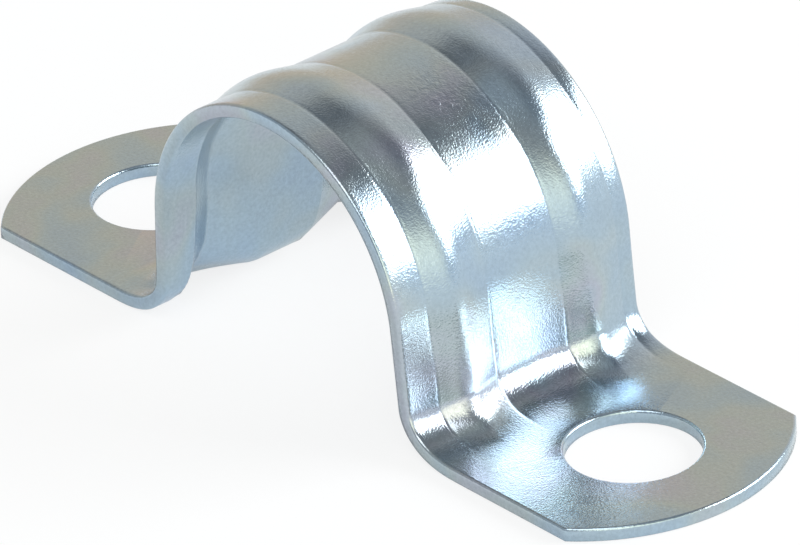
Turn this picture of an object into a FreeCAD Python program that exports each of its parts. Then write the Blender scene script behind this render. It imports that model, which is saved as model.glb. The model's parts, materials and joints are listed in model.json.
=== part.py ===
import FreeCAD, Part
import os
from math import cos, pi, radians, sin, sqrt

import Sketcher

# Two-hole conduit strap, pressed from one strip of steel: a saddle over the conduit, two legs, and a
# foot with one round hole at each end. Two beads run over the saddle and down both legs to stiffen it.
#
# Frame: X from foot to foot, Y along the conduit, Z up. The origin lies midway between the two
# holes, on the plane of the feet's undersides. The body's own origin lies under the middle of the
# saddle, which is a little off that, so the body is placed by the difference.
#
# Everything under the strip's upper skin is padded first, and everything under its lower skin is cut
# away last. The beads are ridges added to the one and valleys cut out after the other. Each is one
# sweep from the top of the saddle to a foot, mirrored to the other foot. It is low and soft on the
# saddle, grows taller and sharper down the leg, and dives into the foot where the bend ends.

SIZES = {
    "strip_width": (15.9, "width of the strip, along the conduit"),
    "thickness": (0.76, "sheet thickness"),
    "conduit_diameter": (17.93, "outside diameter of the conduit that the saddle holds"),
    "saddle_clearance": (0.06, "gap all round between the conduit and the saddle"),
    "saddle_height": (6.43, "height of the saddle's centre over the underside of the feet"),
    "leg_flare": (3.8, "degrees by which each leg leans outward"),
    "bend_radius": (2.6, "inside radius of the bend between leg and foot"),
    "foot_length": (9.9, "straight side of a foot, from the bend to its corner"),
    "hole_distance": (6.3, "from the bend to the centre of the fixing hole"),
    "hole_diameter": (7.14, "diameter of a fixing hole"),
    "end_radius": (10.4, "radius of the rounded end of a foot"),
    "saddle_shift": (0.6, "distance of the saddle from the middle of the strip's length"),
    "crown_width": (4.2, "width of a bead on the upper skin, on top of the saddle"),
    "crown_height": (0.34, "height of a bead over the skin, on top of the saddle"),
    "crown_valley_radius": (3.4, "radius in the bottom of a bead's valley, on top of the saddle"),
    "leg_width": (4.0, "width of a bead on the upper skin, where the leg begins"),
    "leg_height": (0.56, "height of a bead over the skin, where the leg begins"),
    "leg_valley_radius": (1.2, "radius in the bottom of a bead's valley, where the leg begins"),
    "end_width": (4.0, "width of a bead on the upper skin, at the foot"),
    "end_height": (0.9, "height of a bead over the skin, at the foot"),
    "end_valley_radius": (0.3, "radius in the bottom of a bead's valley, at the foot"),
    "landing_slope": (46.0, "degrees at which a bead comes down on the foot"),
    "landing_depth": (0.05, "how deep a bead has sunk under the foot's skin where its run ends"),
    "bead_spacing": (8.82, "distance between the middles of the two beads"),
    "bead_shift": (0.48, "distance of the pair of beads from the middle of the strip's width"),
    "edge_bevel": (0.13, "bevel for the rounding that the blanking die leaves on the upper edges"),
}

# Formulas that several features share, in the sheet's own names.
SADDLE_INNER = "(Sizes.conduit_diameter / 2 + Sizes.saddle_clearance)"
SADDLE_OUTER = f"({SADDLE_INNER} + Sizes.thickness)"
BEND_OUTER = "(Sizes.bend_radius + Sizes.thickness)"
BEND_X = (
    f"(({SADDLE_INNER} + {BEND_OUTER}) / cos(Sizes.leg_flare)"
    f" + (Sizes.saddle_height - {BEND_OUTER}) * tan(Sizes.leg_flare))"
)
FOOT_CORNER = f"({BEND_X} + Sizes.foot_length)"
REACH = f"({FOOT_CORNER} + Sizes.end_radius + Sizes.saddle_shift)"
LANDING_FALL = "(Sizes.end_height * cos(Sizes.landing_slope) + Sizes.landing_depth)"
SPARE = 1.0  # how far a cutting sketch reaches past the metal
NEAR = 1e-5  # how close counts as touching when edges are picked

Z_AXIS = FreeCAD.Vector(0, 0, 1)


def make_sheet(document):
    """The spreadsheet that drives every feature, one named size to a row."""
    sheet = document.addObject("Spreadsheet::Sheet", "Sizes")
    for row, (name, (value, meaning)) in enumerate(SIZES.items(), start=1):
        sheet.set(f"A{row}", name)
        sheet.set(f"B{row}", str(value))
        sheet.set(f"C{row}", meaning)
        sheet.setAlias(f"B{row}", name)
    document.recompute()
    return sheet


def new_sketch(body, name, role):
    """A sketch on one of the body's own origin planes."""
    plane = next(item for item in body.Origin.OriginFeatures if item.Role == role)
    sketch = body.newObject("Sketcher::SketchObject", name)
    sketch.AttachmentSupport = [(plane, "")]
    sketch.MapMode = "FlatFace"
    return sketch


def point(x, y):
    return FreeCAD.Vector(x, y, 0)


def arc(centre, radius, start, end):
    return Part.ArcOfCircle(Part.Circle(centre, Z_AXIS, radius), start, end)


class Drawing:
    """Draws in a sketch and binds each dimension to a formula of the sheet's sizes."""

    def __init__(self, sketch, sheet):
        self.sketch = sketch
        self.value = sheet.evalExpression

    def curve(self, geometry):
        return self.sketch.addGeometry(geometry, False)

    def rule(self, kind, *target):
        self.sketch.addConstraint(Sketcher.Constraint(kind, *target))

    def size(self, kind, *target, formula):
        start = float(self.value(formula))
        if kind == "Angle":
            start = radians(start)
        index = self.sketch.addConstraint(Sketcher.Constraint(kind, *target, start))
        self.sketch.setExpression(f"Constraints[{index}]", formula)

    def chain(self, points):
        """Straight lines through the points, each joined to the next."""
        lines = [self.curve(Part.LineSegment(a, b)) for a, b in zip(points, points[1:])]
        for first, second in zip(lines, lines[1:]):
            self.rule("Coincident", first, 2, second, 1)
        for line, (a, b) in zip(lines, zip(points, points[1:])):
            self.rule("Horizontal" if abs(a.y - b.y) < NEAR else "Vertical", line)
        return lines


def draw_skin(drawing, saddle, bend, level):
    """Saddle arc, legs and bends of one skin; returns the bends, which end at the feet."""
    value = drawing.value
    flare = radians(value("Sizes.leg_flare"))
    centre_z = value("Sizes.saddle_height")
    saddle_radius = value(saddle)
    bend_radius = value(bend)
    bend_x = value(BEND_X)
    bend_z = value(level) + bend_radius
    leg_top = (saddle_radius * cos(flare), centre_z + saddle_radius * sin(flare))
    leg_foot = (bend_x - bend_radius * cos(flare), bend_z - bend_radius * sin(flare))

    arch = drawing.curve(arc(point(0, centre_z), saddle_radius, flare, pi - flare))
    drawing.rule("PointOnObject", arch, 3, -2)
    drawing.size("DistanceY", -1, 1, arch, 3, formula="Sizes.saddle_height")
    drawing.size("Radius", arch, formula=saddle)

    bends = []
    for side in (1, -1):
        bottom = point(side * leg_foot[0], leg_foot[1])
        top = point(side * leg_top[0], leg_top[1])
        leg = drawing.curve(Part.LineSegment(bottom, top))
        span = (pi + flare, 1.5 * pi) if side > 0 else (1.5 * pi, 2 * pi - flare)
        curve = drawing.curve(arc(point(side * bend_x, bend_z), bend_radius, *span))
        at_leg, at_foot = (1, 2) if side > 0 else (2, 1)
        drawing.rule("Tangent", arch, at_leg, leg, 2)
        drawing.rule("Tangent", leg, 1, curve, at_leg)
        drawing.rule("Vertical", curve, 3, curve, at_foot)
        drawing.size("Angle", leg, formula=f"90 + {side} * Sizes.leg_flare")
        drawing.size("Radius", curve, formula=bend)
        bends.append((curve, at_foot))
    return bends


def draw_upper_side(drawing):
    """Side view of all that lies between the upper skin and the plane of the feet."""
    bends = draw_skin(drawing, SADDLE_OUTER, "Sizes.bend_radius", "Sizes.thickness")
    bend_x = drawing.value(BEND_X)
    top = drawing.value("Sizes.thickness")
    end_x = drawing.value(REACH)
    lines = drawing.chain(
        [
            point(bend_x, top),
            point(end_x, top),
            point(end_x, 0),
            point(-end_x, 0),
            point(-end_x, top),
            point(-bend_x, top),
        ]
    )
    drawing.rule("Coincident", bends[0][0], bends[0][1], lines[0], 1)
    drawing.rule("Coincident", bends[1][0], bends[1][1], lines[-1], 2)
    drawing.rule("PointOnObject", lines[1], 2, -1)
    drawing.size("DistanceY", lines[1], 2, lines[1], 1, formula="Sizes.thickness")
    drawing.size("DistanceY", lines[3], 1, lines[3], 2, formula="Sizes.thickness")
    drawing.size("DistanceX", -1, 1, lines[1], 2, formula=REACH)
    drawing.size("DistanceX", lines[2], 2, -1, 1, formula=REACH)


def draw_lower_side(drawing):
    """Side view of all that lies under the lower skin, down past the plane of the feet."""
    bends = draw_skin(drawing, SADDLE_INNER, BEND_OUTER, "0 * Sizes.thickness")
    bend_x = drawing.value(BEND_X)
    end_x = drawing.value(REACH)
    lines = drawing.chain(
        [
            point(bend_x, 0),
            point(end_x, 0),
            point(end_x, -SPARE),
            point(-end_x, -SPARE),
            point(-end_x, 0),
            point(-bend_x, 0),
        ]
    )
    drawing.rule("Coincident", bends[0][0], bends[0][1], lines[0], 1)
    drawing.rule("Coincident", bends[1][0], bends[1][1], lines[-1], 2)
    drawing.rule("PointOnObject", lines[0], 1, -1)
    drawing.rule("PointOnObject", lines[-1], 1, -1)
    drawing.rule("DistanceY", lines[2], 1, -1, 1, SPARE)
    drawing.size("DistanceX", -1, 1, lines[1], 2, formula=REACH)
    drawing.size("DistanceX", lines[2], 2, -1, 1, formula=REACH)


def draw_foot_ends(drawing):
    """Plan of the waste outside the rounded end of each foot."""
    value = drawing.value
    corner_x = value(FOOT_CORNER)
    half = value("Sizes.strip_width / 2")
    radius = value("Sizes.end_radius")
    reach = f"({REACH} + Sizes.saddle_shift + {SPARE})"
    outer_x = value(reach)
    inset = sqrt(radius**2 - half**2)
    turn = radians(value("asin(Sizes.strip_width / 2 / Sizes.end_radius)"))
    for side in (1, -1):
        span = (-turn, turn) if side > 0 else (pi - turn, pi + turn)
        low, high = (1, 2) if side > 0 else (2, 1)
        end = drawing.curve(arc(point(side * (corner_x - inset), 0), radius, *span))
        lines = drawing.chain(
            [
                point(side * corner_x, half),
                point(side * corner_x, half + SPARE),
                point(side * outer_x, half + SPARE),
                point(side * outer_x, -half - SPARE),
                point(side * corner_x, -half - SPARE),
                point(side * corner_x, -half),
            ]
        )
        drawing.rule("Coincident", end, high, lines[0], 1)
        drawing.rule("Coincident", end, low, lines[-1], 2)
        drawing.rule("PointOnObject", end, 3, -1)
        drawing.rule("Vertical", end, low, end, high)
        drawing.size("DistanceY", end, low, end, high, formula="Sizes.strip_width")
        drawing.size("Radius", end, formula="Sizes.end_radius")
        for edge in (lines[0], lines[-1]):
            drawing.rule("DistanceY", edge, 1, edge, 2, SPARE)
        inner, outer = ((-1, 1), (end, high)) if side > 0 else ((end, high), (-1, 1))
        drawing.size("DistanceX", *inner, *outer, formula=FOOT_CORNER)
        inner, outer = ((-1, 1), (lines[2], 1)) if side > 0 else ((lines[2], 1), (-1, 1))
        drawing.size("DistanceX", *inner, *outer, formula=reach)


def draw_fixing_holes(drawing):
    """Plan of the hole in each foot."""
    place = f"({BEND_X} + Sizes.hole_distance)"
    radius = drawing.value("Sizes.hole_diameter / 2")
    for side in (1, -1):
        centre = point(side * drawing.value(place), 0)
        hole = drawing.curve(Part.Circle(centre, Z_AXIS, radius))
        drawing.rule("PointOnObject", hole, 3, -1)
        ends = (-1, 1, hole, 3) if side > 0 else (hole, 3, -1, 1)
        drawing.size("DistanceX", *ends, formula=place)
        drawing.size("Diameter", hole, formula="Sizes.hole_diameter")


class BeadSection:
    """Formulas for the section of a bead on either skin, at one place on its run.

    On both skins it is a roof with a rounded crest. The two roofs lie one sheet apart, so the crest
    on the upper skin is rounder, and the roof on the lower skin is narrower.
    """

    def __init__(self, place):
        self.height = f"Sizes.{place}_height"
        self.inner_radius = f"Sizes.{place}_valley_radius"
        self.outer_radius = f"({self.inner_radius} + Sizes.thickness)"
        self.outer_width = f"Sizes.{place}_width"
        drop = f"({self.outer_radius} - {self.height})"
        half = f"({self.outer_width} / 2)"
        self.slope = (
            f"(asin({self.outer_radius} / sqrt({half} ^ 2 + {drop} ^ 2)) - atan({drop} / {half}))"
        )
        self.inner_width = f"({self.outer_width} - 2 * Sizes.thickness * tan({self.slope} / 2))"


def draw_beads(drawing, section, skin, width, radius):
    """Section of both beads over one skin, on a plinth that reaches half a sheet below the skin.

    The sketch's X line lies the skin's radius below the skin, as the saddle's axis does.
    """
    value = drawing.value
    slope = radians(value(section.slope))
    half = value(width) / 2
    round_radius = value(radius)
    base = f"({skin} - Sizes.thickness / 2)"
    centre = f"({skin} + {section.height} - {radius})"
    round_half = round_radius * sin(slope)
    round_height = value(centre) + round_radius * cos(slope)
    for side in (1, -1):
        place = f"(Sizes.bead_spacing / 2 + {side} * Sizes.bead_shift)"
        middle = side * value(place)
        crest = drawing.curve(
            arc(point(middle, value(centre)), round_radius, pi / 2 - slope, pi / 2 + slope)
        )
        flanks = [
            drawing.curve(
                Part.LineSegment(
                    point(middle + hand * half, value(skin)),
                    point(middle + hand * round_half, round_height),
                )
            )
            for hand in (1, -1)
        ]
        plinth = drawing.chain(
            [
                point(middle + half, value(skin)),
                point(middle + half, value(base)),
                point(middle - half, value(base)),
                point(middle - half, value(skin)),
            ]
        )
        drawing.rule("Tangent", flanks[0], 2, crest, 1)
        drawing.rule("Tangent", flanks[1], 2, crest, 2)
        drawing.rule("Coincident", flanks[0], 1, plinth[0], 1)
        drawing.rule("Coincident", flanks[1], 1, plinth[-1], 2)
        drawing.rule("Horizontal", flanks[0], 1, flanks[1], 1)
        drawing.size("DistanceX", crest, 3, flanks[0], 1, formula=f"{width} / 2")
        drawing.size("DistanceX", flanks[1], 1, flanks[0], 1, formula=width)
        ends = (-1, 1, crest, 3) if side > 0 else (crest, 3, -1, 1)
        drawing.size("DistanceX", *ends, formula=place)
        drawing.size("DistanceY", -1, 1, crest, 3, formula=centre)
        drawing.size("Radius", crest, formula=radius)
        drawing.size("DistanceY", -1, 1, flanks[0], 1, formula=skin)
        drawing.size("DistanceY", -1, 1, plinth[1], 1, formula=base)


def draw_bead_path(drawing, skin, bend):
    """The way of a bead from the top of the saddle: over it, down the right leg, round most of the
    foot bend, and down through the skin of the foot at the landing slope."""
    value = drawing.value
    flare = radians(value("Sizes.leg_flare"))
    slope = radians(value("Sizes.landing_slope"))
    skin_radius = value(skin)
    bend_radius = value(bend)
    middle = point(0, value("Sizes.saddle_height"))
    centre = point(value(BEND_X), value(BEND_OUTER))
    landing_x, landing_z = (value(formula) for formula in landing(bend))

    arch = drawing.curve(arc(middle, skin_radius, flare, pi / 2))
    leg = drawing.curve(
        Part.LineSegment(
            middle + point(cos(flare), sin(flare)) * skin_radius,
            centre - point(cos(flare), sin(flare)) * bend_radius,
        )
    )
    curve = drawing.curve(arc(centre, bend_radius, pi + flare, 1.5 * pi - slope))
    landing_line = drawing.curve(
        Part.LineSegment(
            centre - point(sin(slope), cos(slope)) * bend_radius, point(landing_x, landing_z)
        )
    )
    drawing.rule("PointOnObject", arch, 3, -2)
    drawing.rule("PointOnObject", arch, 2, -2)
    drawing.rule("Tangent", arch, 1, leg, 1)
    drawing.rule("Tangent", leg, 2, curve, 1)
    drawing.rule("Tangent", curve, 2, landing_line, 1)
    drawing.size("DistanceY", -1, 1, arch, 3, formula="Sizes.saddle_height")
    drawing.size("Radius", arch, formula=skin)
    drawing.size("Radius", curve, formula=bend)
    drawing.size("DistanceX", -1, 1, curve, 3, formula=BEND_X)
    drawing.size("DistanceY", -1, 1, curve, 3, formula=BEND_OUTER)
    drawing.size("Angle", landing_line, formula="-1 * Sizes.landing_slope")
    drawing.size("DistanceX", -1, 1, landing_line, 2, formula=landing(bend)[0])


def landing(bend):
    """Formulas for X and Z of the end of a bead's path, where its crest has sunk under the foot."""
    slope = "Sizes.landing_slope"
    drop = f"({bend} * (1 - cos({slope})) + {LANDING_FALL})"
    return (
        f"({BEND_X} - {bend} * sin({slope}) + {drop} / tan({slope}))",
        f"({BEND_OUTER} - {bend} - {LANDING_FALL})",
    )


def across(sketch, feature, length=None):
    """Makes a pad or pocket run both ways from its sketch: by a length, or through everything."""
    feature.Profile = sketch
    feature.SideType = "Symmetric"
    if length:
        feature.setExpression("Length", length)
    else:
        feature.Type = "ThroughAll"


def lay_section(sketch, angle, height, forward):
    """Turns a bead section about its own X line and moves that line to a height and a place."""
    sketch.AttachmentOffset = FreeCAD.Placement(
        FreeCAD.Vector(), FreeCAD.Rotation(FreeCAD.Vector(1, 0, 0), 90)
    )
    sketch.setExpression("AttachmentOffset.Rotation.Angle", angle)
    sketch.setExpression("AttachmentOffset.Base.y", height)
    sketch.setExpression("AttachmentOffset.Base.z", forward)


def run_beads(body, sheet, name, kind, skin, bend, sections):
    """Runs both beads over the saddle and down to each foot, as metal or as a cut.

    Each of the three sections comes with its width and crest radius on this skin.
    """
    path = new_sketch(body, f"{name}Path", "XZ_Plane")
    draw_bead_path(Drawing(path, sheet), skin, bend)

    slope = "Sizes.landing_slope"
    end_x, end_z = landing(bend)
    places = (
        ("Crown", "0 * Sizes.leg_flare", "Sizes.saddle_height", "0 * Sizes.thickness"),
        ("Leg", "90 - Sizes.leg_flare", "Sizes.saddle_height", "0 * Sizes.thickness"),
        ("End", slope, f"{end_z} - {skin} * cos({slope})", f"{end_x} - {skin} * sin({slope})"),
    )
    sketches = []
    for (place, angle, height, forward), section in zip(places, sections):
        sketch = new_sketch(body, f"{name}{place}", "YZ_Plane")
        lay_section(sketch, angle, height, forward)
        draw_beads(Drawing(sketch, sheet), section[0], skin, *section[1:])
        sketches.append(sketch)

    down = body.newObject(kind, f"{name}ToOneFoot")
    down.Profile = sketches[0]
    down.Spine = path
    down.Transformation = "Multisection"
    down.Sections = sketches[1:]
    other = body.newObject("PartDesign::Mirrored", f"{name}ToOtherFoot")
    other.Originals = [down]
    other.MirrorPlane = (next(p for p in body.Origin.OriginFeatures if p.Role == "YZ_Plane"), [""])
    body.Tip = other


def upper_edges(shape, half_width, thickness):
    """Names of the edges that the blanking die breaks: sides, rounded ends and hole rims."""
    names = []
    for number, edge in enumerate(shape.Edges, start=1):
        points = [edge.valueAt(u) for u in edge_parameters(edge)]
        if min(p.z for p in points) < thickness - NEAR:
            continue
        on_side = all(abs(abs(p.y) - half_width) < NEAR for p in points)
        level = all(abs(p.z - thickness) < NEAR for p in points)
        if on_side or (level and isinstance(edge.Curve, Part.Circle)):
            names.append(f"Edge{number}")
    return names


def edge_parameters(edge):
    first, last = edge.ParameterRange
    return (first, (first + last) / 2, last)


def build_strap(document, sheet):
    body = document.addObject("PartDesign::Body", "Strap")
    body.Label = "strap"
    body.setExpression("Placement.Base.x", "Sizes.saddle_shift")
    value = sheet.evalExpression

    upper_side = new_sketch(body, "UpperSide", "XZ_Plane")
    draw_upper_side(Drawing(upper_side, sheet))
    upper = body.newObject("PartDesign::Pad", "UnderUpperSkin")
    across(upper_side, upper, "Sizes.strip_width")

    for name, draw in (("FootEnds", draw_foot_ends), ("FixingHoles", draw_fixing_holes)):
        plan = new_sketch(body, f"{name}Plan", "XY_Plane")
        plan.setExpression("AttachmentOffset.Base.x", "-Sizes.saddle_shift")
        draw(Drawing(plan, sheet))
        across(plan, body.newObject("PartDesign::Pocket", name))

    document.recompute()
    base = body.Tip
    bevel = body.newObject("PartDesign::Chamfer", "DieBevel")
    bevel.Base = (
        base,
        upper_edges(
            base.Shape,
            value("Sizes.strip_width / 2"),
            value("Sizes.thickness"),
        ),
    )
    bevel.setExpression("Size", "Sizes.edge_bevel")

    beads = [BeadSection("crown"), BeadSection("leg"), BeadSection("end")]
    ridges = [(bead, bead.outer_width, bead.outer_radius) for bead in beads]
    valleys = [(bead, bead.inner_width, bead.inner_radius) for bead in beads]
    ridge = "PartDesign::AdditivePipe"
    run_beads(body, sheet, "Ridge", ridge, SADDLE_OUTER, "Sizes.bend_radius", ridges)

    lower_side = new_sketch(body, "LowerSide", "XZ_Plane")
    draw_lower_side(Drawing(lower_side, sheet))
    across(lower_side, body.newObject("PartDesign::Pocket", "UnderLowerSkin"))

    valley = "PartDesign::SubtractivePipe"
    run_beads(body, sheet, "Valley", valley, SADDLE_INNER, BEND_OUTER, valleys)
    document.recompute()
    return body


def check_objects(document):
    for item in document.Objects:
        if "Invalid" in item.State or "Error" in item.State:
            raise RuntimeError(f"{item.Name} failed: {item.State}")


def check_steps(body):
    """Each feature changes the volume, so none of them misses the metal."""
    steps = [item for item in body.Group if item.isDerivedFrom("PartDesign::Feature")]
    for before, after in zip(steps, steps[1:]):
        if abs(before.Shape.Volume - after.Shape.Volume) < NEAR:
            raise RuntimeError(f"{after.Name} changes nothing")


def main():
    document = FreeCAD.newDocument("ConduitStrap")
    sheet = make_sheet(document)
    strap = build_strap(document, sheet)
    check_objects(document)
    check_steps(strap)
    shape = strap.Shape
    if shape.isNull() or not shape.isValid() or len(shape.Solids) != 1:
        raise RuntimeError("the strap is not one valid solid")
    os.makedirs("parts", exist_ok=True)
    shape.exportStep(f"parts/{strap.Label}.step")


main()
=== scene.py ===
# %% [markdown]
# # A two-hole conduit strap in bright zinc
# This strap holds a length of conduit against a wall. A press makes it in one piece: it blanks a
# flat strip of steel, presses two beads along the strip, and bends it over a former. Then it is
# plated. The script follows the press: it makes the flat blank, rolls its edges, and bends it.
# %% Load the fixed frame
import json
from math import asin, atan2, cos, exp, hypot, pi, radians, sin, sqrt, tan

import bmesh
import bpy
from mathutils import Matrix, Vector


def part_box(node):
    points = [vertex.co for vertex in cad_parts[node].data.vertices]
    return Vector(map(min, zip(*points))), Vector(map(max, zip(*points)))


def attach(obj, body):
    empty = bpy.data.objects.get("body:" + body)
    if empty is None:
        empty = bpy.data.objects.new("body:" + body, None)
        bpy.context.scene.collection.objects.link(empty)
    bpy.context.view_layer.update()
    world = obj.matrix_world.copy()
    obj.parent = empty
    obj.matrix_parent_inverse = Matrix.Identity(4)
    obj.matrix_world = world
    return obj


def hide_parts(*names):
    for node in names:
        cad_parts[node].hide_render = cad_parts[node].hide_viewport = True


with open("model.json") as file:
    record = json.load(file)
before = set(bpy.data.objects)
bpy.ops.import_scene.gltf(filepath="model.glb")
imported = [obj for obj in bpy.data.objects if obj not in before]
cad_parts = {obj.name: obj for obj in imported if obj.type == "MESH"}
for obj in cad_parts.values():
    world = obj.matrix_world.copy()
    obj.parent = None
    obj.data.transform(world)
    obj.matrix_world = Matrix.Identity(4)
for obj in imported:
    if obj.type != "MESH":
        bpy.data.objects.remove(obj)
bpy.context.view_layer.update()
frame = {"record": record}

MM = 0.001
mounts = {mount["name"]: mount for mount in frame["record"]["mounts"]}
strap_low, strap_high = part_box("strap")
print("strap measures", [round(v / MM, 2) for v in strap_high - strap_low], "mm")

# %% [markdown]
# ## The camera
# A small metal part is shot with a long lens from well back, so that its two sides stay parallel.
# The camera could be aimed with a constraint, but a plain matrix keeps the same view for good. It
# looks down on the strap from its front right corner, with a slight lean.
# %% Camera
CAMERA_PLACE = Vector((384.88, -313.42, 283.25)) * MM
CAMERA_YAW = radians(50.77)
CAMERA_PITCH = radians(29.41)
CAMERA_LEAN = radians(-3.49)
CAMERA_LENS = 493.3

ahead = Vector(
    (
        -sin(CAMERA_YAW) * cos(CAMERA_PITCH),
        cos(CAMERA_YAW) * cos(CAMERA_PITCH),
        -sin(CAMERA_PITCH),
    )
)
level = Vector((cos(CAMERA_YAW), sin(CAMERA_YAW), 0))
upright = level.cross(ahead)
right = level * cos(CAMERA_LEAN) + upright * sin(CAMERA_LEAN)
up = upright * cos(CAMERA_LEAN) - level * sin(CAMERA_LEAN)
camera_data = bpy.data.cameras.new("camera")
camera_data.lens = CAMERA_LENS
camera_data.sensor_width = 36
camera_data.sensor_fit = "HORIZONTAL"
camera_data.clip_start = 0.01
camera_data.clip_end = 20
camera = bpy.data.objects.new("camera", camera_data)
camera.matrix_world = Matrix.Translation(CAMERA_PLACE) @ Matrix(
    (right, up, -ahead)
).transposed().to_4x4()
bpy.context.collection.objects.link(camera)
bpy.context.scene.camera = camera
print("camera stands", round(CAMERA_PLACE.length, 3), "m from the strap")

# %% [markdown]
# ## Sizes of the strip and of its bends
# The strip is measured along its own length, as a press tool maker does: the saddle first, then
# the straight leg, the foot bend and the flat foot. A bend keeps its length at the middle of the
# sheet, so that is where each stretch is measured. The foot bend could be a plain arc, but sheet
# that is bent over a former is tightest at the leg and eases towards the foot.
# %% Strip and bends
THICKNESS = 0.76 * MM
MIDDLE = THICKNESS / 2
HALF_WIDTH = (strap_high.y - strap_low.y) / 2
SADDLE_RADIUS = mounts["saddle"]["dims"]["r_mm"] * MM + MIDDLE
SADDLE_X, SADDLE_Z = mounts["saddle"]["pos_m"][0], mounts["saddle"]["pos_m"][2]
LEG_FLARE = radians(3.8)
TURN = pi / 2 - LEG_FLARE
BEND_RADIUS = 2.6 * MM + MIDDLE
# how much longer the eased bend is than an arc, how strongly it eases, and its short straights
BEND_STRETCH = 1.2
BEND_EASE = 2.0
BEND_STEPS = 400
bend_length = BEND_STRETCH * BEND_RADIUS * TURN


def bend_turn(share):
    """How far the sheet leans from upright, this share of the way round the foot bend."""
    return LEG_FLARE + TURN * (1 - (1 - share) ** BEND_EASE)


bend_path = [Vector((0, 0))]
for step in range(BEND_STEPS):
    turn = bend_turn((step + 0.5) / BEND_STEPS)
    bend_path.append(bend_path[-1] + Vector((sin(turn), -cos(turn))) * bend_length / BEND_STEPS)

leg_top = Vector((0, SADDLE_Z)) + Vector((cos(LEG_FLARE), sin(LEG_FLARE))) * SADDLE_RADIUS
leg_length = (leg_top.y - MIDDLE + bend_path[-1].y) / cos(LEG_FLARE)
bend_top = leg_top + Vector((sin(LEG_FLARE), -cos(LEG_FLARE))) * leg_length
foot_x = bend_top.x + bend_path[-1].x
leg_start = SADDLE_RADIUS * TURN
bend_start = leg_start + leg_length
foot_start = bend_start + bend_length
print("one side of the strip: leg from", round(leg_start / MM, 2), "mm, bend from")
print(round(bend_start / MM, 2), "mm, foot from", round(foot_start / MM, 2), "mm")

# %% [markdown]
# ## The beads
# A bead is a low roof pressed up in the sheet, with a rounded crest. It could be cut as a curve and
# swept, but here the blank already has lines where the bead needs them, so a height for each line
# is enough. Low and soft on the saddle, a bead grows taller and sharper down the leg, and fades
# out in the foot bend. The two sides of this strap differ, as pressings do. On the right the beads
# stay narrow, lean to the front and have a low skirt before them. On the left they widen and splay
# to the outside. A fine groove runs at a bead's root, and the edge behind a tall bead droops.
# %% Stations along a bead
BEAD_MIDDLES = (-3.93 * MM, 4.89 * MM)
BEND_TURN = (foot_start - bend_start) / MM
# place along the strip, width, height, valley radius, skirt in front, lean to the front and
# splay to the outside, in mm
CROWN = (0.0, 4.2, 0.34, 3.4, 0.0, 0.1, 0.0)
LEG_TOP = (leg_start / MM, 4.0, 0.54, 1.2, 0.0, 0.25, 0.0)
BEADS = {
    1: (
        CROWN,
        LEG_TOP,
        (bend_start / MM - 1.2, 4.0, 0.72, 0.8, 0.19, 0.35, 0.0),
        (bend_start / MM, 4.0, 0.76, 0.8, 0.17, 0.35, 0.0),
        (bend_start / MM + 0.20 * BEND_TURN, 4.0, 0.74, 0.8, 0.07, 0.35, 0.0),
        (bend_start / MM + 0.37 * BEND_TURN, 4.0, 0.60, 0.8, 0.02, 0.35, 0.0),
        (bend_start / MM + 0.54 * BEND_TURN, 4.0, 0.38, 0.8, 0.0, 0.35, 0.0),
        (bend_start / MM + 0.70 * BEND_TURN, 4.0, 0.17, 0.8, 0.0, 0.35, 0.0),
        (bend_start / MM + 0.87 * BEND_TURN, 4.0, 0.04, 0.8, 0.0, 0.35, 0.0),
        (bend_start / MM + 1.05 * BEND_TURN, 4.0, 0.0, 0.8, 0.0, 0.35, 0.0),
    ),
    -1: (
        CROWN,
        LEG_TOP,
        (bend_start / MM - 1.2, 4.4, 0.80, 0.8, 0.0, 0.20, 0.15),
        (bend_start / MM, 5.0, 0.96, 1.0, 0.0, 0.10, 0.55),
        (bend_start / MM + 0.20 * BEND_TURN, 5.8, 1.12, 1.2, 0.0, 0.0, 1.0),
        (bend_start / MM + 0.40 * BEND_TURN, 6.2, 1.14, 1.3, 0.0, 0.0, 1.15),
        (bend_start / MM + 0.55 * BEND_TURN, 6.2, 0.90, 1.3, 0.0, 0.0, 1.15),
        (bend_start / MM + 0.70 * BEND_TURN, 6.2, 0.55, 1.3, 0.0, 0.0, 1.15),
        (bend_start / MM + 0.85 * BEND_TURN, 6.2, 0.20, 1.3, 0.0, 0.0, 1.15),
        (foot_start / MM, 6.2, 0.04, 1.3, 0.0, 0.0, 1.15),
        (foot_start / MM + 0.4, 6.2, 0.0, 1.3, 0.0, 0.0, 1.15),
    ),
}
print("a bead has", len(BEADS[1]), "stations on the right and", len(BEADS[-1]), "on the left")


# %% Between the stations
def steady_slope(before, here, after, column):
    """Slope of a column at a station, level at a peak and at the ends, so nothing overshoots."""
    if before is here or here is after:
        return 0.0
    come = (here[column] - before[column]) / (here[0] - before[0])
    go = (after[column] - here[column]) / (after[0] - here[0])
    return 2 * come * go / (come + go) if come * go > 0 else 0.0


def between(before, start, end, after, share):
    """Point on a smooth curve through start and end, a share of the way from one to the other."""
    values = []
    for column in range(1, len(start)):
        span = end[0] - start[0]
        go = steady_slope(before, start, end, column) * span
        come = steady_slope(start, end, after, column) * span
        a, b = start[column], end[column]
        values.append(
            a
            + go * share
            + (3 * (b - a) - 2 * go - come) * share**2
            + (2 * (a - b) + go + come) * share**3
        )
    return values


def bead_shape(along, side):
    """The station's values, in metres, this far along the strip."""
    stations = BEADS[side]
    place = along / MM
    if place >= stations[-1][0]:
        return [value * MM for value in stations[-1][1:]]
    index = max(i for i, station in enumerate(stations) if station[0] <= place)
    start, end = stations[index], stations[index + 1]
    before = stations[index - 1] if index else (-end[0], *end[1:])
    after = stations[min(index + 2, len(stations) - 1)]
    share = (place - start[0]) / (end[0] - start[0])
    return [value * MM for value in between(before, start, end, after, share)]


print("crest stands", round(bead_shape(0, 1)[1] / MM, 2), "mm proud on the saddle")

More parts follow.
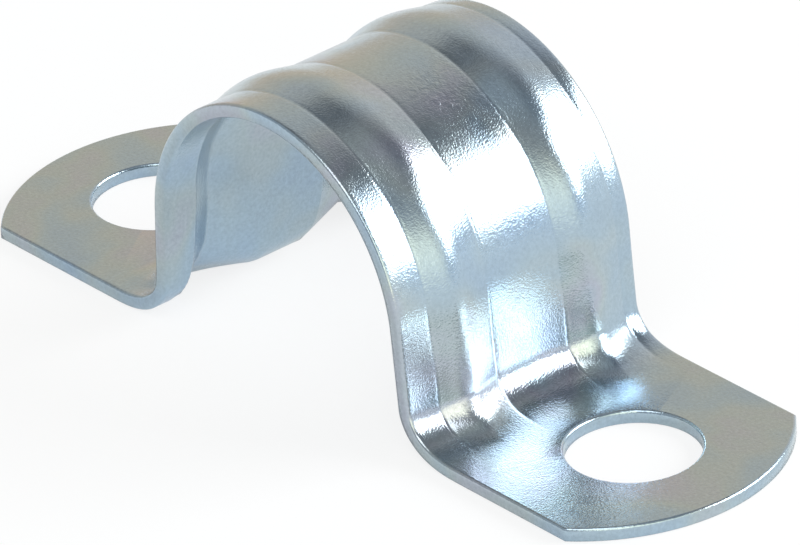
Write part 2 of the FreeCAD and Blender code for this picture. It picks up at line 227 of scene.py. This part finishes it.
# %% Section of a bead
SKIRT_WIDTH = 2.4 * MM
GROOVE = 0.02 * MM
GROOVE_WIDTH = 0.1 * MM
DROOP = 0.12 * MM
DROOP_START = 7.1 * MM
# a bead this high has its whole groove, and one this high its whole droop
GROOVE_HEIGHT = 0.2 * MM
DROOP_HEIGHT = 0.6 * MM


def roof_slope(half, height, crest):
    """Slope of a roof's flanks, given half its width, its height and the radius of its crest."""
    drop = crest - height
    return asin(crest / hypot(half, drop)) - atan2(drop, half)


def bead_rise(y, shape, upper):
    """How far the nearer bead presses up a point of the upper or the lower skin."""
    width, height, valley, skirt, lean, splay = shape
    if height <= 0:
        return 0.0
    middle = min(BEAD_MIDDLES, key=lambda place: abs(y - place))
    shift = -lean + (splay if middle > 0 else -splay)
    in_front = middle + shift - y
    half = width / 2 + shift if in_front > 0 else width / 2 - shift
    crest = valley + THICKNESS
    slope = roof_slope(half, height, crest)
    if not upper:
        half, crest = half - THICKNESS * tan(slope / 2), valley
        slope = roof_slope(half, height, crest)
    off = abs(in_front)
    rise = -GROOVE * min(1, height / GROOVE_HEIGHT) * exp(-(((off - half) / GROOVE_WIDTH) ** 2))
    if in_front > 0:
        rise += skirt * (min(1, off / half) * max(0, 1 - max(0, off - half) / SKIRT_WIDTH)) ** 2
    if off <= crest * sin(slope):
        rise += height - crest + sqrt(crest**2 - off**2)
    elif off < half:
        rise += (half - off) * tan(slope)
    if y > DROOP_START:
        sag = (y - DROOP_START) / (HALF_WIDTH - DROOP_START)
        rise -= DROOP * min(1, height / DROOP_HEIGHT) ** 2 * sag**2
    return rise


tallest = bead_rise(BEAD_MIDDLES[0], bead_shape(bend_start, 1), True)
print("the front bead rises", round(tallest / MM, 2), "mm where the right foot bend starts")

# %% [markdown]
# ## Bending
# Every point of the blank knows how far it lies along the strip, across it, and up through the
# sheet. The former takes the first to a place on the bent strip, and the third to a place between
# its two skins. A Simple Deform modifier bends by one radius only, so the bend is written out here.
# %% The former


def skin_point(along, rise, upper):
    """Place in side view of a point of the upper or the lower skin, right of the saddle."""
    off = rise + (MIDDLE if upper else -MIDDLE)
    if along < leg_start:
        turn = pi / 2 - along / SADDLE_RADIUS
        start = Vector((cos(turn), sin(turn))) * SADDLE_RADIUS + Vector((0, SADDLE_Z))
    elif along < bend_start:
        turn = LEG_FLARE
        start = leg_top.lerp(bend_top, (along - leg_start) / leg_length)
    elif along < foot_start:
        share = (along - bend_start) / bend_length
        turn = bend_turn(share)
        start = bend_top + bend_path[int(share * BEND_STEPS)].lerp(
            bend_path[int(share * BEND_STEPS) + 1], share * BEND_STEPS % 1
        )
    else:
        turn = pi / 2
        start = Vector((foot_x + along - foot_start, MIDDLE))
    return start + Vector((cos(turn), sin(turn))) * off


def bent(point):
    """Takes a point of the flat blank to its place on the bent strap."""
    side = -1 if point.x < 0 else 1
    along = abs(point.x)
    shape = bead_shape(along, side)
    low = skin_point(along, bead_rise(point.y, shape, False), False)
    high = skin_point(along, bead_rise(point.y, shape, True), True)
    x, z = low.lerp(high, point.z / THICKNESS)
    return Vector((SADDLE_X + side * x, point.y, z))


print("crown of the saddle at", round(bent(Vector((0, 0, THICKNESS))).z / MM, 2), "mm")

# %% [markdown]
# ## The flat blank
# The middle of the blank is a grid. Its lines lie close together where the beads crease and where
# the foot bends, and far apart elsewhere. Each foot is a ring of faces between the edge of the hole
# and the edge of the foot, so that both edges come out clean and can be rounded.
# %% Grid lines
SADDLE_GAP = 0.3 * MM
LEG_GAP = 0.25 * MM
BEND_GAP = 0.1 * MM
BEAD_GAP = 0.1 * MM
FRONT_GAP = 0.35 * MM
BACK_GAP = 0.2 * MM
RIM_WIDTH = 0.3 * MM
BEAD_REACH = 2.6 * MM
LANDING_ROOM = {1: 0.4 * MM, -1: 0.6 * MM}


def spread(start, end, gap):
    """Evenly spaced places from start up to, but without, end."""
    count = max(1, round((end - start) / gap))
    return [start + (end - start) * i / count for i in range(count)]


def side_lines(side):
    """Places of the lines across one side of the strip, from the top of the saddle down."""
    foot_end = foot_start + LANDING_ROOM[side]
    return (
        spread(0, leg_start, SADDLE_GAP)
        + spread(leg_start, bend_start, LEG_GAP)
        + spread(bend_start, foot_start, BEND_GAP)
        + spread(foot_start, foot_end, BEND_GAP)
        + [foot_end]
    )


along_lines = [-line for line in reversed(side_lines(-1)[1:])] + side_lines(1)

across_lines = [-HALF_WIDTH, -HALF_WIDTH + RIM_WIDTH]
for middle in BEAD_MIDDLES:
    across_lines += spread(across_lines[-1], middle - BEAD_REACH, FRONT_GAP)[1:]
    across_lines += spread(middle - BEAD_REACH, middle + BEAD_REACH, BEAD_GAP)
across_lines += spread(BEAD_MIDDLES[-1] + BEAD_REACH, HALF_WIDTH - RIM_WIDTH, BACK_GAP)
across_lines += [HALF_WIDTH - RIM_WIDTH, HALF_WIDTH]
print(len(along_lines), "lines across the strip and", len(across_lines), "along it")

# %% Grid of the blank
GRID_HALF = 0.5
blank = bmesh.new()
bmesh.ops.create_grid(
    blank, x_segments=len(along_lines) - 1, y_segments=len(across_lines) - 1, size=GRID_HALF
)
for vertex in blank.verts:
    column = round((vertex.co.x + GRID_HALF) * (len(along_lines) - 1))
    row = round((vertex.co.y + GRID_HALF) * (len(across_lines) - 1))
    vertex.co = Vector((along_lines[column], across_lines[row], 0))
print("the grid has", len(blank.faces), "faces")

# %% Feet with their holes
HOLE_RADIUS = mounts["fixing_holes"]["dims"]["hole_r_mm"] * MM
HOLE_X = mounts["fixing_holes"]["dims"]["spacing_x_mm"] / 2 * MM
END_RADIUS = 10.4 * MM
SIDE_STEPS = 28
END_STEPS = 64
SAME_PLACE = 1e-7
end_half_angle = asin(HALF_WIDTH / END_RADIUS)


def flat_x(x):
    """Distance along the blank of a place on a flat foot."""
    side = -1 if x < 0 else 1
    return x - SADDLE_X + side * (foot_start - foot_x)


for side, end_x in ((-1, strap_low.x), (1, strap_high.x)):
    root_x = along_lines[0] if side < 0 else along_lines[-1]
    outline = {e for e in blank.edges if all(abs(v.co.x - root_x) < SAME_PLACE for v in e.verts)}
    corner_x = flat_x(end_x) - side * END_RADIUS * (1 - cos(end_half_angle))
    tips = []
    for hand in (-1, 1):
        tip = min(
            (v for e in outline for v in e.verts),
            key=lambda v: (v.co - Vector((root_x, hand * HALF_WIDTH, 0))).length,
        )
        for step in range(SIDE_STEPS):
            made = bmesh.ops.extrude_vert_indiv(blank, verts=[tip])
            tip = made["verts"][0]
            tip.co.x += (corner_x - root_x) / SIDE_STEPS
            outline.update(made["edges"])
        tips.append(tip)
    bmesh.ops.spin(
        blank,
        geom=[tips[0]],
        cent=(flat_x(end_x) - side * END_RADIUS, 0, 0),
        axis=(0, 0, 1),
        angle=side * 2 * end_half_angle,
        steps=END_STEPS,
    )
    bmesh.ops.remove_doubles(blank, verts=blank.verts, dist=SAME_PLACE)
    outline = [
        e
        for e in blank.edges
        if e.is_wire or all(abs(v.co.x - root_x) < SAME_PLACE for v in e.verts)
    ]
    ring = bmesh.ops.extrude_edge_only(blank, edges=outline)
    hole_middle = Vector((flat_x(side * HOLE_X), 0, 0))
    for item in ring["geom"]:
        if isinstance(item, bmesh.types.BMVert):
            item.co = hole_middle + (item.co - hole_middle).normalized() * HOLE_RADIUS
print("with its feet the blank has", len(blank.faces), "faces")

# %% [markdown]
# ## Thickness and edges
# The die shears the strip from above, so its upper edges and the upper rims of its holes are
# rolled over, and the lower ones keep a fine burr. A Bevel modifier after the bending would work on
# angles, and the beads would confuse it. A bevel before the bending rounds all edges alike.
# %% Sheet thickness
bmesh.ops.recalc_face_normals(blank, faces=blank.faces)
lower_faces = list(blank.faces)
raised = bmesh.ops.extrude_face_region(blank, geom=lower_faces, use_keep_orig=True)
for item in raised["geom"]:
    if isinstance(item, bmesh.types.BMVert):
        item.co.z = THICKNESS
bmesh.ops.recalc_face_normals(blank, faces=blank.faces)
print("open edges:", sum(not e.is_manifold for e in blank.edges))

# %% Rolled edges
UPPER_ROLL = 0.16 * MM
LOWER_ROLL = 0.05 * MM
WALL_NORMAL_Z = 0.1


def rim_edges_at(height):
    """Edges between a wall of the blank and its skin at the given height."""
    return [
        e
        for e in blank.edges
        if all(abs(v.co.z - height) < SAME_PLACE for v in e.verts)
        and min(abs(f.normal.z) for f in e.link_faces) < WALL_NORMAL_Z
    ]


for height, roll, steps in ((THICKNESS, UPPER_ROLL, 3), (0, LOWER_ROLL, 1)):
    blank.normal_update()
    bmesh.ops.bevel(
        blank,
        geom=rim_edges_at(height),
        affect="EDGES",
        offset=roll,
        offset_type="OFFSET",
        segments=steps,
        profile=0.5,
        material=-1,
    )
print("with rolled edges the blank has", len(blank.faces), "faces")

# %% [markdown]
# ## Press and bend
# The press gives the strip its beads and its bends in one stroke, and so does this cell: it takes
# every point of the blank through the former. A lattice could do it too, but only roughly. Smooth
# faces with weighted normals keep the flat feet flat and let the rolled edges catch the light.
# %% Press and bend
for vertex in blank.verts:
    vertex.co = bent(vertex.co)
bmesh.ops.recalc_face_normals(blank, faces=blank.faces)
for face in blank.faces:
    face.smooth = True
strap_mesh = bpy.data.meshes.new("pressed_strap")
blank.to_mesh(strap_mesh)
blank.free()
pressed_strap = bpy.data.objects.new("pressed_strap", strap_mesh)
bpy.context.collection.objects.link(pressed_strap)
weighted = pressed_strap.modifiers.new("flat_faces_lead", "WEIGHTED_NORMAL")
weighted.keep_sharp = True
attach(pressed_strap, "root")
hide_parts("strap")
print("the pressed strap has", len(strap_mesh.polygons), "faces")

# %% [markdown]
# ## Zinc plate
# Bright zinc is a thin blue-white coat, nearly a mirror, with a faint play of colour where the
# passivation is thicker. A flat grey metal would look cast. So one noise tints the coat, others
# vary its tone and its gloss, and a wide and a fine noise turn its surface a little. One spot on
# the saddle is rubbed, and rougher.
# %% Node helpers
zinc = bpy.data.materials.new("bright_zinc")
zinc.use_nodes = True
nodes, links = zinc.node_tree.nodes, zinc.node_tree.links
place = nodes.new("ShaderNodeTexCoord").outputs["Object"]


def noise(per_metre, detail, roughness, warp=0.0):
    """Noise with this many cells to the metre, between 0 and 1."""
    node = nodes.new("ShaderNodeTexNoise")
    node.inputs["Scale"].default_value = per_metre
    node.inputs["Detail"].default_value = detail
    node.inputs["Roughness"].default_value = roughness
    node.inputs["Distortion"].default_value = warp
    links.new(place, node.inputs["Vector"])
    return node.outputs["Fac"]


def ramp(value, *stops):
    """Colour ramp with (place, colour) stops, read at the value."""
    node = nodes.new("ShaderNodeValToRGB")
    points = node.color_ramp.elements
    while len(points) < len(stops):
        points.new(0.5)
    for point, (where, colour) in zip(points, stops):
        point.position = where
        point.color = (*colour, 1)
    links.new(value, node.inputs["Fac"])
    return node.outputs["Color"]


def maths(node_type, kind, *values):
    """Math or Vector Math node; each value is an output, a number or three numbers."""
    node = nodes.new(node_type)
    node.operation = kind
    sockets = [socket for socket in node.inputs if socket.enabled]
    for socket, value in zip(sockets, values):
        if isinstance(value, bpy.types.NodeSocket):
            links.new(value, socket)
        else:
            socket.default_value = value
    return node.outputs


def arithmetic(kind, *values):
    """Number made from numbers."""
    return maths("ShaderNodeMath", kind, *values)["Value"]


def vector_maths(kind, *values):
    """Vector or colour made from vectors, colours and numbers."""
    return maths("ShaderNodeVectorMath", kind, *values)["Vector"]


def vector_measure(kind, *values):
    """Number made from two vectors."""
    return maths("ShaderNodeVectorMath", kind, *values)["Value"]


print("made the material", zinc.name)

# %% Colour and gloss of the zinc
shader = nodes["Principled BSDF"]
shader.inputs["Metallic"].default_value = 1


def grey(level):
    """Colour of an even grey."""
    return (level, level, level)


tint = ramp(
    noise(per_metre=150, detail=2, roughness=0.5, warp=0.4),
    (0.30, (0.39, 0.51, 0.64)),
    (0.45, (0.43, 0.54, 0.62)),
    (0.55, (0.47, 0.55, 0.58)),
    (0.66, (0.48, 0.52, 0.60)),
    (0.78, (0.43, 0.54, 0.62)),
)
grain = ramp(
    noise(per_metre=5200, detail=2, roughness=0.6), (0.25, grey(0.84)), (0.75, grey(1.0))
)
links.new(vector_maths("MULTIPLY", tint, grain), shader.inputs["Base Color"])
gloss = ramp(
    noise(per_metre=420, detail=3, roughness=0.6), (0.3, grey(0.14)), (0.7, grey(0.24))
)
links.new(gloss, shader.inputs["Roughness"])
print("zinc has", len(nodes), "nodes for its colour and gloss")

# %% Surface of the zinc
WAVE_DEPTH = 0.05 * MM
RUBBED_DEPTH = 0.04 * MM
SPECKLE_DEPTH = 0.013 * MM
RUBBED_PLACE = Vector((4.3, 0.6, 15.3)) * MM
RUBBED_INNER = 1.0 * MM
RUBBED_OUTER = 2.6 * MM


def bumped(height, depth, strength=1.0, before=None):
    """Normal turned by a height, on top of the normal before it."""
    node = nodes.new("ShaderNodeBump")
    node.inputs["Strength"].default_value = strength
    node.inputs["Distance"].default_value = depth
    links.new(height, node.inputs["Height"])
    if before is not None:
        links.new(before, node.inputs["Normal"])
    return node.outputs["Normal"]


spot = nodes.new("ShaderNodeMapRange")
links.new(vector_measure("DISTANCE", place, RUBBED_PLACE), spot.inputs["Value"])
spot.inputs["From Min"].default_value = RUBBED_INNER
spot.inputs["From Max"].default_value = RUBBED_OUTER
spot.inputs["To Min"].default_value = 1
spot.inputs["To Max"].default_value = 0
scratches = noise(per_metre=2600, detail=3, roughness=0.7, warp=0.3)
rubbed = arithmetic("MULTIPLY", scratches, spot.outputs["Result"])

waves = bumped(noise(per_metre=300, detail=2, roughness=0.5), WAVE_DEPTH, strength=0.5)
rough_spot = bumped(rubbed, RUBBED_DEPTH, before=waves)
speckle = bumped(
    noise(per_metre=9500, detail=1, roughness=0.6), SPECKLE_DEPTH, before=rough_spot
)
links.new(speckle, shader.inputs["Normal"])
pressed_strap.data.materials.append(zinc)
print("zinc has", len(nodes), "nodes")

# %% [markdown]
# ## Floor
# The strap lies on a plain white sheet. A sheet lit by lamps alone would turn grey. So it is drawn
# partly as white paper lit by the lamps, which keeps the shadow, and partly as plain white, which
# keeps the shadow light.
# %% Floor
FLOOR_HALF = 4
FLOOR_DROP = 0.02 * MM
PAPER = (0.90, 0.93, 0.95, 1)
WHITE_SEEN = 0.8
WHITE_REFLECTED = 0.35

floor_bm = bmesh.new()
bmesh.ops.create_grid(floor_bm, x_segments=1, y_segments=1, size=FLOOR_HALF)
bmesh.ops.translate(floor_bm, vec=(0, 0, -FLOOR_DROP), verts=floor_bm.verts)
floor_mesh = bpy.data.meshes.new("floor")
floor_bm.to_mesh(floor_mesh)
floor_bm.free()
floor = bpy.data.objects.new("floor", floor_mesh)
bpy.context.collection.objects.link(floor)
print("floor measures", 2 * FLOOR_HALF, "m each way")

# %% White paper
paper = bpy.data.materials.new("white_paper")
paper.use_nodes = True
nodes, links = paper.node_tree.nodes, paper.node_tree.links
nodes.remove(nodes["Principled BSDF"])
lit = nodes.new("ShaderNodeBsdfDiffuse")
lit.inputs["Color"].default_value = PAPER
plain = nodes.new("ShaderNodeEmission")
plain.inputs["Strength"].default_value = 1
rays = nodes.new("ShaderNodeLightPath").outputs
white = arithmetic("MULTIPLY", rays["Is Camera Ray"], WHITE_SEEN)
for ray in ("Is Glossy Ray", "Is Transmission Ray"):
    white = arithmetic("MULTIPLY_ADD", rays[ray], WHITE_REFLECTED, white)
blend = nodes.new("ShaderNodeMixShader")
links.new(white, blend.inputs["Fac"])
links.new(lit.outputs[0], blend.inputs[1])
links.new(plain.outputs[0], blend.inputs[2])
links.new(blend.outputs[0], nodes["Material Output"].inputs["Surface"])
floor_mesh.materials.append(paper)
print("paper has", len(nodes), "nodes")

# %% [markdown]
# ## The room
# Bright metal shows the room more than its own colour. The room could be a picture wrapped round
# the strap, but plain patches of tone are easier to move and to name. Each patch lies one way from
# the strap, and each way shows the patches that are nearest to it. The room is a dim studio: dark
# overhead, warm grey opposite the camera, bright low down on the right, and pale near the floor.
# %% Studio room
# each patch of wall or ceiling: how far round and how far up it lies, in degrees, and its colour
WALL_PATCHES = (
    (145, 14, (0.85, 0.69, 0.54)),
    (141, 29, (0.76, 0.70, 0.56)),
    (153, 41, (0.74, 0.66, 0.59)),
    (147, 64, (0.04, 0.04, 0.05)),
    (123, 78, (0.38, 0.38, 0.39)),
    (38, 78, (0.48, 0.50, 0.50)),
    (8, 64, (0.37, 0.38, 0.38)),
    (1, 48, (0.33, 0.34, 0.36)),
    (-3, 34, (0.46, 0.47, 0.46)),
    (-9, 19, (2.10, 2.00, 1.60)),
    (-4, 8, (1.20, 1.20, 1.10)),
    (127, 46, (0.69, 0.65, 0.60)),
    (107, 55, (0.54, 0.52, 0.54)),
    (82, 60, (0.12, 0.12, 0.14)),
    (57, 55, (0.26, 0.29, 0.32)),
    (-26, 23, (2.50, 2.40, 1.90)),
    (123, 27, (0.94, 0.85, 0.79)),
    (110, 30, (0.94, 0.89, 0.88)),
    (96, 32, (0.65, 0.64, 0.65)),
    (86, 20, (0.88, 0.88, 0.88)),
    (70, 0, (0.80, 0.84, 0.88)),
    (35, -2, (0.75, 0.82, 0.90)),
    (-60, 20, (0.50, 0.52, 0.54)),
    (-60, 60, (0.40, 0.42, 0.44)),
    (-120, 25, (0.50, 0.52, 0.54)),
    (180, 20, (0.64, 0.60, 0.52)),
    (180, 60, (0.30, 0.30, 0.30)),
)
# a higher value gives the patches sharper edges
PATCH_EDGE = 42


def towards(azimuth, elevation):
    """Direction that lies this many degrees round from x and up from the floor."""
    return Vector(
        (
            cos(radians(azimuth)) * cos(radians(elevation)),
            sin(radians(azimuth)) * cos(radians(elevation)),
            sin(radians(elevation)),
        )
    )


world = bpy.data.worlds.new("studio")
world.use_nodes = True
nodes, links = world.node_tree.nodes, world.node_tree.links
place = nodes.new("ShaderNodeTexCoord").outputs["Generated"]
colour_sum, share_sum = (0, 0, 0), 0
for azimuth, elevation, colour in WALL_PATCHES:
    nearness = vector_measure("DOT_PRODUCT", place, towards(azimuth, elevation))
    power = arithmetic("MULTIPLY_ADD", nearness, PATCH_EDGE, -PATCH_EDGE)
    share = arithmetic("EXPONENT", power)
    colour_sum = vector_maths("ADD", colour_sum, vector_maths("SCALE", colour, share))
    share_sum = arithmetic("ADD", share_sum, share)
room = vector_maths("SCALE", colour_sum, arithmetic("DIVIDE", 1.0, share_sum))
links.new(room, nodes["Background"].inputs["Color"])
nodes["Background"].inputs["Strength"].default_value = 1
bpy.context.scene.world = world
bpy.context.scene.view_settings.view_transform = "Standard"
print("room has", len(nodes), "nodes")

# %% [markdown]
# ## Soft boxes
# Two lamps stand in the room. The wide box on the camera's right draws the white bands down the
# saddle and the foot bend, and the box on its left lights the floor and the rims. Spot
# lamps would give hard dots on metal, and a box gives bands with straight edges.
# %% Soft boxes
BOX_DISTANCE = 1.0


def soft_box(name, azimuth, elevation, width, height, brightness):
    """Area light that faces the strap; brightness 1 looks white."""
    lamp_data = bpy.data.lights.new(name, "AREA")
    lamp_data.shape = "RECTANGLE"
    lamp_data.size, lamp_data.size_y = width, height
    lamp_data.energy = brightness * pi * width * height
    lamp = bpy.data.objects.new(name, lamp_data)
    lamp.location = towards(azimuth, elevation) * BOX_DISTANCE
    lamp.rotation_euler = lamp.location.to_track_quat("Z", "Y").to_euler()
    bpy.context.collection.objects.link(lamp)
    print(name, "measures", width, "by", height, "m")


soft_box("wide_box", azimuth=53, elevation=26, width=0.80, height=0.56, brightness=6.5)
soft_box("front_box", azimuth=-60, elevation=55, width=0.70, height=0.70, brightness=2.0)
